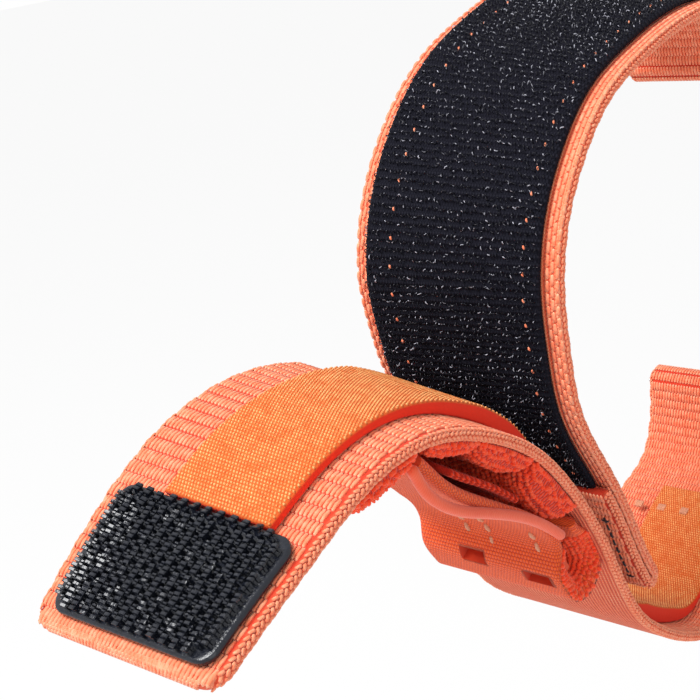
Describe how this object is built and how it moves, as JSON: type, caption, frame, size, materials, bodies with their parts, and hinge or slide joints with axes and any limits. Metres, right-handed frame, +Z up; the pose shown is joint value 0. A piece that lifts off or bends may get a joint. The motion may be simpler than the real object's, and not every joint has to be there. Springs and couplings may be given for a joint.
{
  "type": "hook and loop watch strap",
  "caption": "Two-length woven strap with a hook patch on a folding flap, a pile tape, a padded pull loop and quick-release spring bars.",
  "frame": {"origin": "centre of the lower spring bar, halfway along it", "axes": "+Y along the spring bars from the near edge to the far edge, +Z up from the lower bar to the upper bar, both lengths reach out towards -X"},
  "size_m": [0.1105, 0.0238, 0.0803],
  "materials": {
    "webbing": "woven nylon webbing, coral orange",
    "padding": "nubby knitted tape, deep orange",
    "lining": "fine diagonal weave, bright orange",
    "pile": "brushed loop pile, blue-black",
    "hooks": "moulded nylon hooks, glossy black",
    "steel": "turned stainless steel"
  },
  "bodies": {
    "spring_bars": {"lower_bar_tube": "steel", "lower_bar_fixed_tip": "steel", "lower_bar_spring": "steel", "upper_bar_tube": "steel", "upper_bar_fixed_tip": "steel", "upper_bar_spring": "steel"},
    "lower_release": {"lower_bar_moving_tip": "steel", "lower_bar_lever": "steel"},
    "upper_release": {"upper_bar_moving_tip": "steel", "upper_bar_lever": "steel"},
    "lower_length": {"lower_webbing": "webbing", "lining_tape_lower": "lining"},
    "flap": {"flap_webbing": "webbing", "lining_tape_flap": "lining", "hook_patch": "hooks", "pull_pad_front": "padding", "pull_pad_second": "padding", "pull_pad_third": "padding", "pull_pad_rear": "padding", "pull_band": "padding", "pull_loop_lining": "padding"},
    "upper_length": {"upper_webbing": "webbing", "pile_tape_upper": "pile"},
    "tongue": {"tongue_webbing": "webbing", "pile_tape_tongue": "pile"}
  },
  "joints": [
    {"name": "lower_release", "type": "slide", "parent": "spring_bars", "child": "lower_release", "axis": [0, 1, 0], "range_m": [0, 0.0012], "stiffness_N_per_m": 300, "deforming": ["lower_bar_spring"]},
    {"name": "upper_release", "type": "slide", "parent": "spring_bars", "child": "upper_release", "axis": [0, 1, 0], "range_m": [0, 0.0012], "stiffness_N_per_m": 300, "deforming": ["upper_bar_spring"]},
    {"name": "lower_swing", "type": "hinge", "parent": "spring_bars", "child": "lower_length", "pos_m": [0, 0, 0], "axis": [0, -1, 0], "range_deg": [0, 60]},
    {"name": "flap_bend", "type": "hinge", "parent": "lower_length", "child": "flap", "pos_m": [-0.05144, 0, -0.00156], "axis": [0, -1, 0], "range_deg": [0, 55]},
    {"name": "upper_swing", "type": "hinge", "parent": "spring_bars", "child": "upper_length", "pos_m": [0, 0, 0.046], "axis": [0, -1, 0], "range_deg": [0, 10]},
    {"name": "tongue_bend", "type": "hinge", "parent": "upper_length", "child": "tongue", "pos_m": [-0.0594, -0.011, 0.02889], "axis": [0.0512, -0.9987, 0.0049], "range_deg": [0, 60]}
  ]
}
